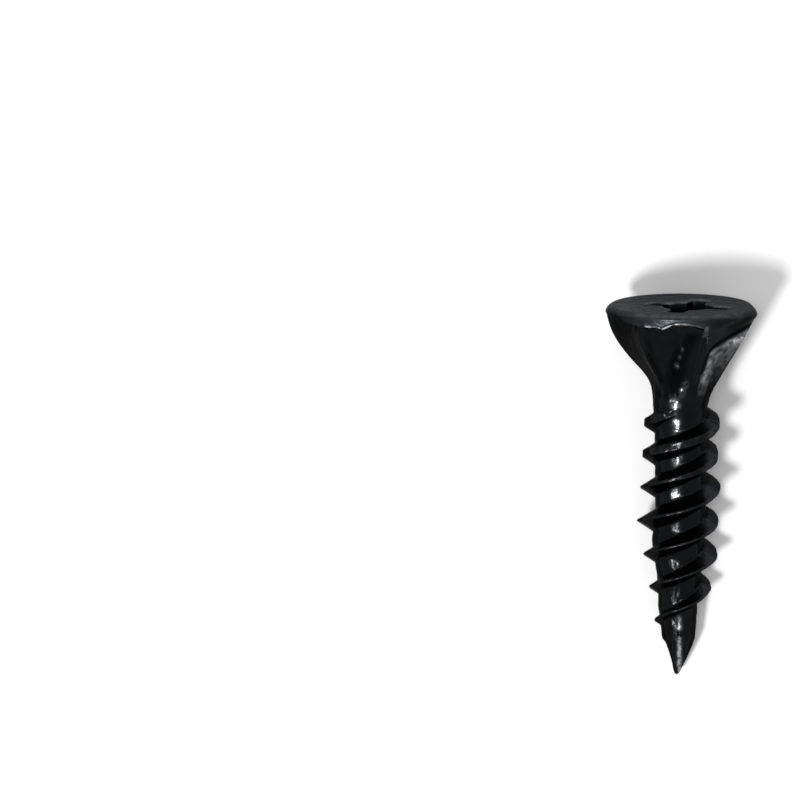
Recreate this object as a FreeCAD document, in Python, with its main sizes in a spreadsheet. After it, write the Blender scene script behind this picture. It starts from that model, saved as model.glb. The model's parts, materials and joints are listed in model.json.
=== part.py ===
import FreeCAD, Part
import math
import os
import Sketcher
from FreeCAD import Placement, Rotation, Vector

# A black drywall screw, one solid piece, lying on its side as it comes to rest.
# It is modelled upright about its own axis, with the flat top of the head at height 0 and
# the point below, and laid down by its placement at the end. "Front" is the side that
# lies uppermost (-Y before it is laid down), and angles about the axis run from the front
# towards +X. A depth is a distance from the top of the head towards the point.

# Driving dimensions, in millimetres and degrees
SIZES = (
    ("screw_length", 20.0, "top of the head to the point"),
    ("head_diameter", 8.0, "widest part of the head"),
    ("rim_band", 0.3, "depth of the upright band around the top of the head"),
    ("rim_round", 0.24, "radius of the head's upper edge"),
    ("cone_angle", 60.0, "included angle of the head's underside"),
    ("neck_round", 1.2, "radius between the underside and the shank"),
    ("shank_diameter", 2.8, "neck, and root of the thread"),
    ("cone_foot", "=rim_band + (head_diameter - shank_diameter) / 2 / tan(cone_angle * 0.5deg)",
     "depth at which the underside meets the shank"),
    ("rib_1_angle", 22.5, "angles of the ribs left between the hollows of the underside"),
    ("rib_2_angle", 80.0, ""),
    ("rib_3_angle", 140.0, ""),
    ("rib_4_angle", 200.0, ""),
    ("rib_5_angle", 262.0, ""),
    ("rib_6_angle", 328.0, ""),
    ("scoop_start", 0.5, "depth at which the hollows begin"),
    ("scoop_clear", 0.1, "distance left between the hollows and the foot of the cone"),
    ("scoop_end", "=cone_foot - scoop_clear", "depth at which the hollows have run out"),
    ("rib_width", 0.5, "rib left between two hollows at their wide end"),
    ("scoop_wall", 0.24, "height of a rib's wall at the wide end"),
    ("scoop_valley", 0.82, "how deep the middle of a hollow lies below the cone there"),
    ("land_start", 0.72, "depth at which the first hollow begins, beside the second rib"),
    ("land_foot", 2.0, "depth at which its slanting upper edge reaches the first rib"),
    ("land_width", 10.0, "degrees between that edge and the second rib where it begins"),
    ("wing_span", 4.4, "cross recess, tip to tip"),
    ("wing_width", 1.05, "width of a wing of the recess"),
    ("wing_foot_width", 0.8, "width of a wing at its foot"),
    ("recess_depth", 2.2, "depth of the wings"),
    ("wing_end_slope", 26.5, "slope of a wing's end wall from the axis"),
    ("web_diameter", 2.1, "round middle of the recess at its mouth"),
    ("web_foot_diameter", 0.7, "round middle of the recess at its foot"),
    ("web_depth", 2.6, "depth of the round middle"),
    ("recess_angle", 20.0, "turn of the recess about the axis"),
    ("recess_side", 0.38, "recess off the axis, towards +X"),
    ("recess_front", 0.6, "recess off the axis, towards the front"),
    ("thread_diameter", 4.2, "over the crests"),
    ("thread_starts", 2.0, "separate ridges"),
    ("crest_spacing", 1.81, "crest to crest along the axis"),
    ("crest_width", 0.12, "flat left on a crest"),
    ("blunt_width", 0.36, "flat on the crests nearest to the head"),
    ("blunt_length", 3.0, "length of the thread with those blunt crests"),
    ("sharpen_length", 1.4, "length over which they then sharpen"),
    ("flank_angle", 30.0, "slope of a ridge's sides"),
    ("neck_length", 0.35, "distance from the foot of the cone to the first of the thread"),
    ("thread_begin", "=cone_foot + neck_length", "depth at which the ridges leave the neck"),
    ("thread_rise", 1.15, "length over which they reach full height"),
    ("thread_angle", 15.0, "angle at which the first ridge begins"),
    ("thread_taper", 7.6, "length of the tapered end of the thread, from the point"),
    ("thread_fade", 3.0, "distance from the point at which the ridges start to fade"),
    ("thread_fade_height", 0.29, "height of the ridges where they start to fade"),
    ("thread_end", 2.45, "distance from the point at which they are gone"),
    ("taper_length", 6.6, "length of the tapered end of the core, from the point"),
    ("point_length", 2.25, "length of the point's final cone"),
    ("point_diameter", 1.84, "diameter at the top of that cone"),
    ("point_round", 1.5, "radius between the taper and that cone"),
    ("point_flat", 0.16, "diameter of the blunt end"),
)

# How far a ridge's foot is buried in the core, so that the two join
RIDGE_BURY = 0.22
# Points along a ridge for each of its spans, which are at most half a turn long
POINTS_PER_SPAN = 4
# Ribs, and hollows between them, on the head's underside
RIBS = 6
# How deep the hollows still are at their lower end, against their upper end
SCOOP_LAST = 0.1
# How far out the hollows' cutters reach, against the head's diameter
CUTTER_REACH = 0.7
# Closeness within which an edge counts as the one looked for
EDGE_MATCH = 1e-4


def make_sheet(doc):
    sheet = doc.addObject("Spreadsheet::Sheet", "sizes")
    for row, (name, value, note) in enumerate(SIZES, start=1):
        sheet.set(f"A{row}", name)
        sheet.set(f"B{row}", str(value))
        sheet.set(f"C{row}", note)
        sheet.setAlias(f"B{row}", name)
    doc.recompute()
    return sheet


def origin_plane(body, role):
    return next(item for item in body.Origin.OriginFeatures if item.Role == role)


def add_sketch(body, name, role):
    sketch = body.newObject("Sketcher::SketchObject", name)
    sketch.AttachmentSupport = [(origin_plane(body, role), "")]
    sketch.MapMode = "FlatFace"
    return sketch


def pin_vertex(sketch, edge, end, name, place):
    """Ties one end of an edge to two sheet expressions, across and along the sketch."""
    for kind, axis, text in zip(("DistanceX", "DistanceY"), ("across", "along"), place):
        if text == "0":
            line = -2 if kind == "DistanceX" else -1
            sketch.addConstraint(Sketcher.Constraint("PointOnObject", edge, end, line))
            continue
        value = number_of(sketch, text)
        index = sketch.addConstraint(Sketcher.Constraint(kind, -1, 1, edge, end, value))
        sketch.renameConstraint(index, f"{name}_{axis}")
        sketch.setExpression(f"Constraints.{name}_{axis}", text)


def number_of(sketch, text):
    value = sketch.evalExpression(text)
    return float(getattr(value, "Value", value))


def place_of(sketch, place):
    return Vector(number_of(sketch, place[0]), number_of(sketch, place[1]), 0)


def close_loop(sketch, corners):
    """Draws straight edges round the named corners, each tied to the sheet."""
    names = list(corners)
    following = names[1:] + names[:1]
    for name, after in zip(names, following):
        line = Part.LineSegment(place_of(sketch, corners[name]), place_of(sketch, corners[after]))
        sketch.addGeometry(line, False)
    for index in range(len(names)):
        after = (index + 1) % len(names)
        sketch.addConstraint(Sketcher.Constraint("Coincident", index, 2, after, 1))
    for index, name in enumerate(names):
        pin_vertex(sketch, index, 1, name, corners[name])


def circle_edges(shape, radius, height):
    """Names of the round edges about the axis that have this radius and height."""
    found = []
    for number, edge in enumerate(shape.Edges, start=1):
        curve = edge.Curve
        if not isinstance(curve, Part.Circle):
            continue
        same_radius = abs(curve.Radius - radius) < EDGE_MATCH
        same_height = abs(curve.Center.z - height) < EDGE_MATCH
        if same_radius and same_height:
            found.append(f"Edge{number}")
    return found


def add_round(doc, body, name, base, place, size):
    """Rounds the edge of the given radius and height by a size of the sheet."""
    fillet = body.newObject("PartDesign::Fillet", name)
    fillet.Base = (base, circle_edges(base.Shape, *place))
    fillet.setExpression("Radius", f"sizes.{size}")
    body.Tip = fillet
    doc.recompute()
    return fillet


def add_blank(doc, body, sheet):
    """The turned form: head, underside cone, shank, taper and point."""
    head = "sizes.head_diameter / 2"
    shank = "sizes.shank_diameter / 2"
    point = "sizes.point_diameter / 2"
    cone_top = "sizes.point_length - sizes.screw_length"
    sketch = add_sketch(body, "half_outline", "XZ_Plane")
    close_loop(sketch, {
        "top_middle": ("0", "0"),
        "top_edge": (head, "0"),
        "band_foot": (head, "-sizes.rim_band"),
        "neck": (shank, "-sizes.cone_foot"),
        "taper_top": (shank, "sizes.taper_length - sizes.screw_length"),
        "point_top": (point, cone_top),
        "blunt_edge": ("sizes.point_flat / 2", "-sizes.screw_length"),
        "blunt_middle": ("0", "-sizes.screw_length"),
    })
    blank = body.newObject("PartDesign::Revolution", "turned_blank")
    blank.Profile = sketch
    blank.ReferenceAxis = (sketch, ["V_Axis"])
    blank.Angle = 360
    body.Tip = blank
    doc.recompute()
    rim_place = (sheet.head_diameter / 2, 0)
    neck_place = (sheet.shank_diameter / 2, -sheet.cone_foot)
    point_place = (sheet.point_diameter / 2, number_of(sketch, cone_top))
    rim = add_round(doc, body, "rim_edge", blank, rim_place, "rim_round")
    neck = add_round(doc, body, "neck_blend", rim, neck_place, "neck_round")
    return add_round(doc, body, "point_blend", neck, point_place, "point_round")


def place_at(angle, distance, aside="0"):
    """Expressions for a place so far out at an angle, and set aside towards larger angles."""
    turn = f"(({angle}) * 1deg)"
    across = f"({distance}) * sin{turn} + ({aside}) * cos{turn}"
    along = f"({aside}) * sin{turn} - ({distance}) * cos{turn}"
    return across, along


def scoop_section(body, name, depth, left, right):
    """One cross-section of a hollow's cutter, between the ribs at two angles.

    Two straight floors meet in a valley, and a low upright wall joins each to its rib. The
    ribs narrow with the cone, and walls and valley run out towards the foot of the cone.
    """
    cone = cone_radius(depth)
    run = f"(({depth} - sizes.scoop_start) / (sizes.scoop_end - sizes.scoop_start))"
    fall = f"(1 - {1 - SCOOP_LAST} * {run})"
    half_rib = f"(sizes.rib_width / 2 * {cone} / {cone_radius('sizes.scoop_start')})"
    rib_foot = f"(sqrt({cone} ^ 2 - {half_rib} ^ 2) - sizes.scoop_wall * {fall})"
    valley = f"({cone} - sizes.scoop_valley * {fall})"
    outer = f"(sizes.head_diameter * {CUTTER_REACH})"
    sketch = add_sketch(body, name, "XY_Plane")
    close_loop(sketch, {
        "left_foot": place_at(left, rib_foot, half_rib),
        "valley": place_at(f"({left} + {right}) / 2", valley),
        "right_foot": place_at(right, rib_foot, f"-{half_rib}"),
        "right_outer": place_at(right, outer, f"-{half_rib}"),
        "left_outer": place_at(left, outer, half_rib),
    })
    turn_and_shift(sketch, "0", ("0", "0", f"-{depth}"))
    return sketch


def cone_radius(depth):
    """Expression for the radius of the head's underside at a depth."""
    return f"(sizes.head_diameter / 2 - ({depth} - sizes.rim_band) * tan(sizes.cone_angle * 0.5deg))"


def turn_and_shift(item, angle, shift):
    """Binds where a sketch or solid stands in its body: its turn about the axis, and shift."""
    item.AttachmentOffset = Placement(Vector(), Rotation(Vector(0, 0, 1), 1))
    item.setExpression(".AttachmentOffset.Rotation.Angle", f"({angle}) * 1deg")
    for axis, text in zip("xyz", shift):
        item.setExpression(f".AttachmentOffset.Base.{axis}", text)


def add_scoops(doc, body):
    """The tapering hollows pressed into the underside, with straight ribs between them.

    The upper edge of the first one slants, so its cutter starts narrow beside its far rib.
    """
    for number in range(1, RIBS + 1):
        left = f"sizes.rib_{number}_angle"
        following = number % RIBS + 1
        right = f"(sizes.rib_{following}_angle + {0 if following > number else 360})"
        sections = [("upper_end", "sizes.scoop_start", left), ("lower_end", "sizes.scoop_end", left)]
        if number == 1:
            land_edge = f"({right} - sizes.land_width)"
            sections[0] = ("upper_end", "sizes.land_start", land_edge)
            sections.insert(1, ("full_width", "sizes.land_foot", left))
        name = f"scoop_{number}"
        sketches = [scoop_section(body, f"{name}_{end}", depth, side, right)
                    for end, depth, side in sections]
        scoop = body.newObject("PartDesign::SubtractiveLoft", name)
        scoop.Profile = sketches[0]
        scoop.Sections = sketches[1:]
        scoop.Ruled = True
        body.Tip = scoop
        doc.recompute()


def recess_section(body, name, depth, length, width):
    """A rectangle across the recess, turned and shifted with it."""
    sketch = add_sketch(body, name, "XY_Plane")
    right, left = f"({length}) / 2", f"-({length}) / 2"
    back, front = f"({width}) / 2", f"-({width}) / 2"
    close_loop(sketch, {
        "right_back": (right, back),
        "left_back": (left, back),
        "left_front": (left, front),
        "right_front": (right, front),
    })
    shift = ("sizes.recess_side", "-sizes.recess_front", f"-({depth})")
    turn_and_shift(sketch, "-sizes.recess_angle", shift)
    return sketch


def add_recess(doc, body):
    """The cross recess: two crossing wedges and a tapering round middle."""
    foot_length = "sizes.wing_span - 2 * sizes.recess_depth * tan(sizes.wing_end_slope * 1deg)"
    mouth = recess_section(body, "wing_mouth", "0", "sizes.wing_span", "sizes.wing_width")
    foot = recess_section(body, "wing_foot", "sizes.recess_depth", foot_length,
                          "sizes.wing_foot_width")
    wings = body.newObject("PartDesign::SubtractiveLoft", "wing_pair")
    wings.Profile = mouth
    wings.Sections = [foot]
    wings.Ruled = True
    doc.recompute()
    cross = body.newObject("PartDesign::PolarPattern", "wing_cross")
    cross.Originals = [wings]
    cross.Axis = (mouth, ["N_Axis"])
    cross.Angle = 90
    cross.Occurrences = 2
    body.Tip = cross
    doc.recompute()
    web = body.newObject("PartDesign::SubtractiveCone", "web_hole")
    web.AttachmentSupport = [(origin_plane(body, "XY_Plane"), "")]
    web.MapMode = "FlatFace"
    web.setExpression("Radius1", "sizes.web_foot_diameter / 2")
    web.setExpression("Radius2", "sizes.web_diameter / 2")
    web.setExpression("Height", "sizes.web_depth")
    shift = ("sizes.recess_side", "-sizes.recess_front", "-sizes.web_depth")
    turn_and_shift(web, "-sizes.recess_angle", shift)
    body.Tip = web
    doc.recompute()
    return web


def between(stations, depth):
    """Straight-line value at a depth, from (depth, value) stations in order."""
    for (start, low), (end, high) in zip(stations, stations[1:]):
        if depth <= end:
            share = (depth - start) / (end - start)
            return low + (high - low) * share
    return stations[-1][1]


class Thread:
    """Form of the thread, worked out from the sheet."""

    def __init__(self, sheet):
        self.starts = round(sheet.thread_starts)
        self.lead = sheet.crest_spacing * self.starts
        self.begin = sheet.thread_begin
        self.end = sheet.screw_length - sheet.thread_end
        self.spans = math.ceil(2 * (self.end - self.begin) / self.lead)
        self.first_angle = sheet.thread_angle
        blunt_end = self.begin + sheet.blunt_length
        self.width_line = (
            (self.begin, sheet.blunt_width),
            (blunt_end, sheet.blunt_width),
            (blunt_end + sheet.sharpen_length, sheet.crest_width),
            (self.end, sheet.crest_width),
        )
        self.flank = math.tan(math.radians(sheet.flank_angle))
        shank = sheet.shank_diameter / 2
        crest = sheet.thread_diameter / 2
        length = sheet.screw_length
        self.core_line = (
            (0.0, shank),
            (length - sheet.taper_length, shank),
            (length - sheet.point_length, sheet.point_diameter / 2),
            (length, sheet.point_flat / 2),
        )
        fade = length - sheet.thread_fade
        faded = RIDGE_BURY / 2
        self.crest_line = (
            (self.begin, shank - faded),
            (self.begin + sheet.thread_rise, crest),
            (length - sheet.thread_taper, crest),
            (fade, self.core_radius(fade) + sheet.thread_fade_height),
            (self.end, self.core_radius(self.end) - faded),
        )

    def core_radius(self, depth):
        return between(self.core_line, depth)

    def crest_radius(self, depth):
        return between(self.crest_line, depth)

    def depths(self):
        """Evenly spaced depths along the thread, a set number to each span."""
        count = self.spans * POINTS_PER_SPAN
        return [self.begin + (self.end - self.begin) * step / count for step in range(count + 1)]

    def angle(self, start, depth):
        """Angle about the axis, in radians, of one ridge's crest at a depth."""
        turns = (self.begin - depth) / self.lead + start / self.starts
        return math.radians(self.first_angle) + turns * 2 * math.pi

    def point(self, start, depth, corner):
        """A point of a ridge's section: corner is its crest or foot, upper or lower."""
        crest = self.crest_radius(depth)
        foot = self.core_radius(depth) - RIDGE_BURY
        is_crest = corner.startswith("crest")
        radius = crest if is_crest else foot
        half_width = between(self.width_line, depth) / 2 + (crest - radius) * self.flank
        side = 1 if corner.endswith("upper") else -1
        angle = self.angle(start, depth)
        height = -depth + side * half_width
        return Vector(radius * math.sin(angle), -radius * math.cos(angle), height)


def ridge_solid(thread, start):
    """One helical ridge: its crest and root narrow with the taper and fade at both ends."""
    depths = thread.depths()
    stations = [float(index) for index in range(len(depths))]
    corners = ("crest upper", "crest lower", "foot lower", "foot upper")
    curves = []
    for corner in corners:
        curve = Part.BSplineCurve()
        points = [thread.point(start, depth, corner) for depth in depths]
        curve.interpolate(Points=points, Parameters=stations)
        curves.append(curve)
    faces = []
    for span in range(thread.spans):
        first, last = span * POINTS_PER_SPAN, (span + 1) * POINTS_PER_SPAN
        edges = [curve.toShape(first, last) for curve in curves]
        faces += [Part.makeRuledSurface(edges[side - 1], edges[side]) for side in range(4)]
    for station in (stations[0], stations[-1]):
        outline = [curve.value(station) for curve in curves]
        faces.append(Part.Face(Part.makePolygon(outline + outline[:1])))
    shell = Part.Shell(faces)
    shell.sewShape()
    solid = Part.Solid(shell)
    if solid.Volume < 0:
        solid.reverse()
    return solid


def rest_slope(thread, sheet):
    """Slope of the axis with the head's rim and the lowest crest on one level surface."""
    rim_radius = sheet.head_diameter / 2
    slopes = []
    for start in range(thread.starts):
        for depth in thread.depths():
            crest = thread.point(start, depth, "crest lower")
            slopes.append((rim_radius - crest.y) / (-crest.z - sheet.rim_band))
    return math.atan(min(slopes))


def lay_down(screw, thread, sheet):
    """Turns the front upwards and the head towards +Y, resting, with its box centred."""
    slope = math.degrees(rest_slope(thread, sheet))
    screw.Placement = Placement(Vector(), Rotation(Vector(1, 0, 0), slope - 90))
    box = screw.Shape.optimalBoundingBox(False, False)
    screw.Placement.Base = Vector(0, -(box.YMin + box.YMax) / 2, -box.ZMin)
    return slope


def check(doc, parts):
    """Stops if an object failed, or a sub-part is empty, invalid or not one solid."""
    failed = [item.Name for item in doc.Objects if {"Invalid", "Error"} & set(item.State)]
    if failed:
        raise RuntimeError(f"failed: {failed}")
    for item in parts:
        shape = item.Shape
        if shape.isNull() or not shape.isValid() or len(shape.Solids) != 1:
            raise RuntimeError(f"{item.Label} is not one valid solid")


def main():
    doc = FreeCAD.newDocument("drywall_screw")
    sheet = make_sheet(doc)
    body = doc.addObject("PartDesign::Body", "screw_blank")
    doc.recompute()
    add_blank(doc, body, sheet)
    add_scoops(doc, body)
    add_recess(doc, body)
    thread = Thread(sheet)
    ridges = []
    for start in range(thread.starts):
        ridge = doc.addObject("Part::Feature", f"thread_ridge_{start + 1}")
        ridge.Shape = ridge_solid(thread, start)
        ridges.append(ridge)
    screw = doc.addObject("Part::MultiFuse", "screw")
    screw.Label = "screw"
    screw.Shapes = [body, *ridges]
    screw.Refine = False
    doc.recompute()
    lay_down(screw, thread, sheet)
    check(doc, [screw])
    os.makedirs("parts", exist_ok=True)
    screw.Shape.exportStep(f"parts/{screw.Label}.step")


main()
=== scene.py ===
import json
import math

import bmesh
import bpy
import numpy as np
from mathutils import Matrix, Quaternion, Vector, noise


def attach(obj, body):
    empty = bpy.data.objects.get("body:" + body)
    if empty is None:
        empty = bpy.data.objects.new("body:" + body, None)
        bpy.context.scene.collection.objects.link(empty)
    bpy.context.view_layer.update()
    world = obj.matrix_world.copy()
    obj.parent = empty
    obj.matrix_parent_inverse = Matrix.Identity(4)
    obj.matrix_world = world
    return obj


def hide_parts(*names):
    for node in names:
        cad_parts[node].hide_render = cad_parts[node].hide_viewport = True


# The visible skin of the black screw, made in one piece over its solid, with its finish,
# the floor, the lights and the camera.
# Lengths are in millimetres and angles in degrees, unless a name or comment says otherwise.
# A place on the screw is (side, front, depth): side is towards +X, front is away from the
# floor, and depth runs from the top of the head to the point. Angles about the axis start
# at the front and run towards the side. A curve is a row of (place, value) stations.

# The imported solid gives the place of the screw's axis
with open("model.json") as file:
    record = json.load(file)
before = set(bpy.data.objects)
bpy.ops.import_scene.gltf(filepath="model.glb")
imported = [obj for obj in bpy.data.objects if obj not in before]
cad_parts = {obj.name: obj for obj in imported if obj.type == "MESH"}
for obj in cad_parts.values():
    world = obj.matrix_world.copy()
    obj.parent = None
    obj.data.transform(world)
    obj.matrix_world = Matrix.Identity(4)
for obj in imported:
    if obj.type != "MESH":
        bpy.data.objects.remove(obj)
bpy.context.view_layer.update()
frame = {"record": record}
mounts = {mount["name"]: mount for mount in frame["record"]["mounts"]}
head_face = mounts["head_face"]
OUTWARD = Vector(head_face["axis"]).normalized()
FRONT = Vector((0, -OUTWARD.z, OUTWARD.y))
HEAD_MIDDLE = Vector((0, head_face["pos_m"][1], head_face["pos_m"][2]))
MILLIMETRE = 0.001

# Head: the foot of its rim and its worn shoulder, at angles round it
HEAD_RADIUS = 4.0
RIM_FOOT = ((-90.0, 0.34), (-40.0, 0.26), (0.0, 0.25), (40.0, 0.28), (90.0, 0.46),
            (180.0, 0.25), (270.0, 0.34))
SHOULDER_HEIGHT = ((-90.0, 0.32), (-40.0, 0.22), (0.0, 0.2), (40.0, 0.24), (90.0, 0.45),
                   (180.0, 0.2), (270.0, 0.32))
SHOULDER_WIDTH = ((-90.0, 0.32), (0.0, 0.30), (60.0, 0.36), (90.0, 0.40), (110.0, 0.36),
                  (180.0, 0.3), (270.0, 0.32))
SHOULDER_ROWS = 9
# How round the shoulder is: 1 is a quarter round, less is nearer to a flat slope
SHOULDER_ROUND = 0.45

# Radius of the head's underside at depths, on its left and on its right
HEAD_LEFT = (
    (0.29, 3.98), (0.55, 3.93), (0.82, 3.87), (1.37, 3.69), (1.92, 3.41), (2.47, 3.02),
    (3.02, 2.55), (3.57, 2.03), (3.9, 1.77), (4.12, 1.65), (4.45, 1.54), (4.9, 1.47),
    (5.2, 1.44), (5.5, 1.42),
)
HEAD_RIGHT = (
    (0.29, 4.04), (0.45, 4.03), (0.82, 3.82), (1.37, 3.53), (1.92, 3.24), (2.47, 2.93),
    (3.02, 2.60), (3.57, 2.28), (4.12, 1.97), (4.45, 1.78), (4.9, 1.59), (5.2, 1.50),
    (5.5, 1.44),
)
# Swelling of the neck's front: its angle, depth, half length and height
NECK_SWELL = (-10.0, 5.35, 0.36, 0.065)

# Ribs under the head: their angles, half the width of their tops, and how far their sides
# reach out and drop
RIB_ANGLES = (22.5, 80.0, 140.0, 200.0, 262.0, 328.0)
RIB_HALF = 0.2
RIB_SIDE = 0.13
RIB_DROP = 0.24
# Depth from which, and length over which, the ribs' columns spread out evenly
SPREAD_BEGIN, SPREAD_LENGTH = 3.9, 1.0

# Hollows, each from a rib to the next: the depth of its upper edge at shares of the way
# across, how deep its valley is and how far across it lies, how rough its floor is and how
# strongly its rough cut shows with the painted light on it (most in the right hollow), how
# high the pressed-up lip above it stands, and how high the wall below its upper edge is
HOLLOWS = (
    {"edge": ((0.0, 2.3), (0.16, 1.6), (0.5, 1.04), (1.0, 0.64)),
     "deep": 0.8, "low": 0.5, "rough": 1.0, "lip": 0.0, "wall": 0.2},
    {"edge": ((0.0, 0.6), (0.3, 0.45), (0.7, 0.4), (1.0, 0.55)),
     "deep": 0.9, "low": 0.5, "rough": 0.3, "lip": 0.1, "wall": 0.12},
    {"edge": ((0.0, 0.7), (0.4, 0.5), (1.0, 0.5)),
     "deep": 1.0, "low": 0.5, "rough": 0.6, "lip": 0.4, "wall": 0.12},
    {"edge": ((0.0, 0.55), (0.5, 0.4), (1.0, 0.6)),
     "deep": 1.0, "low": 0.55, "rough": 0.2, "lip": 0.4, "wall": 0.12},
    {"edge": ((0.0, 0.36), (0.45, 0.42), (0.8, 0.55), (1.0, 0.68)),
     "deep": 1.08, "low": 0.55, "rough": 0.1, "lip": 0.2, "wall": 0.12},
    {"edge": ((0.0, 0.66), (0.12, 0.665), (0.23, 0.645), (0.32, 0.76), (0.42, 0.6),
              (0.54, 0.47), (0.64, 0.47), (0.79, 0.55), (0.88, 0.645), (1.0, 0.72)),
     "deep": 0.92, "low": 0.56, "rough": 0.03, "lip": 1.0, "wall": 0.14},
)
RIGHT_HOLLOW, LEFT_HOLLOW, FRONT_HOLLOW = 0, 4, 5
# Depths between which the hollows grow shallow and run out
HOLLOWS_BEGIN, HOLLOWS_END = 0.6, 4.72
# Depth of cut over which a hollow's edge turns from the band's finish to its own
CUT_SOFT = 0.05
# The front hollow's lip is pressed out towards a steep face below the rim: how much of the
# way, how far in from the rim that face begins, and its slope
LIP_SHARE, LIP_INSET, LIP_SLOPE = 0.5, 0.03, 0.12
# Bead along a lip: its height, how far above the edge it lies and its half width
BEAD_HEIGHT, BEAD_ABOVE, BEAD_HALF = 0.06, 0.07, 0.085
# Share of the way across over which a bead, and the pressed lip, end softly
BEAD_ENDS, LIP_ENDS = 0.05, 0.15

# Small specks of metal left standing in the front hollow: angle, depth, height and size
SPECKS = ((2.0, 2.0, 0.04, 0.09), (-1.0, 2.42, 0.06, 0.10), (-4.5, 2.88, 0.11, 0.11),
          (8.0, 3.95, 0.07, 0.14), (2.5, 4.4, 0.09, 0.16))
# How much longer than wide a speck is, and how strong a painted highlight each millimetre of
# height gives it
SPECK_LENGTH, SPECK_SHINE = 1.5, 9.0
# Painted highlight on the end of the rib beside the front hollow's lip: columns, depths and
# brightness
HIGHLIT_RIB_COLUMNS = 4
HIGHLIT_RIB_DEPTHS = (0.55, 1.2)
RIB_HIGHLIGHT = 0.35

# Painted sheen on the band below the rim, brightest at its front: how much it keeps of the
# top face's painted grey sheen, at angles
BAND_SHEEN = ((-90.0, 0.0), (-50.0, 0.0), (-32.0, 0.38), (12.0, 0.38), (30.0, 0.1),
             (90.0, 0.12), (180.0, 0.2), (270.0, 0.0))
# Rows of the underside between which that painted sheen fades
SHEEN_ROWS = (5.6, 12.6)
# Strip of the band over the front hollow's lip, given the top face's rougher finish with its
# painted grey sheen, and a painted shade: how far above the edge, and half width
OVER_LIP = (0.2, 0.1)
OVER_LIP_SHEEN = 0.9

# How dark the painted shade is on the walls, floors and other places under the head
PAINTED_SHADE_LEVELS = {"front wall": 0.85, "upper walls": 0.9, "front floor": 0.3, "left floor": 0.45,
             "left rib": 0.5, "over lip": 0.35}
# Depth from which, and length over which, the painted shade on the front wall and the left rib
# sets in
FRONT_WALL_FROM = (0.8, 0.4)
LEFT_RIB_FROM = (1.0, 0.5)
# How strongly a hollow's floor shows its rough cut with its painted light up to its valley,
# the share across over which that changes there, and the power by which the cut beyond it
# fades towards the neck
CUT_EVEN, CUT_CHANGE, CUT_FADE = 0.6, 0.06, 1.5

# Finish of the front hollow: how bright the painted highlight along its lip, partly a worn
# edge, is at shares of the way across, and where the painted shade on its wall is darkest,
# as depths, shares of the way across and half widths
LIP_SHINE = ((0.0, 0.0), (0.06, 0.9), (0.12, 1.9), (0.17, 1.0), (0.24, 0.3), (0.31, 1.3),
             (0.36, 1.7), (0.52, 1.3), (0.59, 0.5), (0.65, 0.8), (0.71, 0.5), (0.88, 0.35),
             (1.0, 0.2))
DARK_DEPTHS = (1.2, 2.5, 3.5)
DARK_MIDDLES = (0.80, 0.56, 0.43)
DARK_HALVES = (0.13, 0.24, 0.38)
# Painted highlight line along that lip, partly a worn edge: how far above the edge, half
# width and strength
LIP_HIGHLIGHT_LINE = (0.055, 0.055, 1.3)

# Finish of the right hollow: how far the painted shadow line beside its wall reaches below
# its upper edge and beside the rib, measured on depth with a share of front added, its slant
SLANT = 0.2
EDGE_LINE = 0.26
RIB_LINE = 0.17
# Where the painted shadow line beside the rib runs out, and over which length
RIB_LINE_END = (3.5, 0.5)
# Painted light strips beside those lines: middle and half width, in widths of the line
EDGE_STRIP = (1.5, 0.45)
RIB_STRIP = (1.4, 0.6)
RIB_STRIP_LIGHT = 0.9
# Where the strips begin and end, each with the length over which they do
EDGE_STRIP_END = (0.4, 0.2)
RIB_STRIP_BEGIN = (2.5, 0.3)
RIB_STRIP_END = (4.5, 0.6)
# Brightest painted light, a patch at the hollow's far side: share across, half width and
# strength, and where it begins below the edge and runs out down the cone
FAR_PATCH = (0.85, 0.2, 3.52)
FAR_PATCH_BEGIN = (1.0, 0.6)
FAR_PATCH_END = (2.2, 0.7)

# Painted highlight streaks on the neck, core and point: angle or side, depth, half width, half
# length
NECK_STREAK = (-10.0, 5.05, 8.0, 0.33)
CORE_STREAK = (-8.0, 8.2, 9.0, 2.6)
CORE_HIGHLIGHT = 0.4
POINT_STREAK = (0.06, 18.3, 0.10, 1.5)
POINT_HIGHLIGHT = 2.5

# Recess in the head's top
RECESS_CENTRE = np.array((0.38, 0.68))
RECESS_TURN = 20.0
RECESS_DEPTH = 2.2
# Its hollow floor: sizes of the outline at its foot, and their depths
RECESS_FLOOR = ((0.04, 2.62), (0.3, 2.6), (0.6, 2.4), (0.8, 2.25), (0.95, 2.21))
RECESS_BOTTOM = 2.63
WING_HALF_SPAN = 2.2
WING_HALF_WIDTH = 0.50
WING_CORNER = 0.16
WING_BOW = 0.05
WEB_RADIUS = 1.3
END_LEAN = 26.5
SIDE_LEAN = 3.2
WEB_LEAN = 12.2066
MOUTH_ROUND = 0.06
# Raised lip round its mouth: its height, how far out it lies and its half width, as shares
MOUTH_LIP, LIP_OUT, LIP_HALF = 0.035, 0.06, 0.07
# Painted glint on a corner of the recess: its place, size and strength, and where the glint
# ends down the wall
GLINT_CORNER = np.array((0.7, -1.5))
GLINT_SIZE = 0.1
GLINT_STRENGTH = 1.2
GLINT_END = (0.8, 0.4)
# How dark the painted shade on the recess's wall is at its top, and the depth at which it is
# darkest
WALL_TOP_SHADE, WALL_SHADE_DEPTH = 0.55, 0.4
# Its rounded mouth: wear, painted shade, and the half width of the wear outside it, as a share
MOUTH_WEAR, MOUTH_SHADE, MOUTH_WEAR_HALF = 0.5, 0.2, 0.05
# Depths of the wall's outlines, and shares of the way from the mouth to the rim
WALL_LEVELS = (*np.linspace(RECESS_DEPTH, 0.12, 15), 0.08)
TOP_SHARES = (*np.linspace(0, 1, 17)[:-1] ** 1.2, 0.97)

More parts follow.
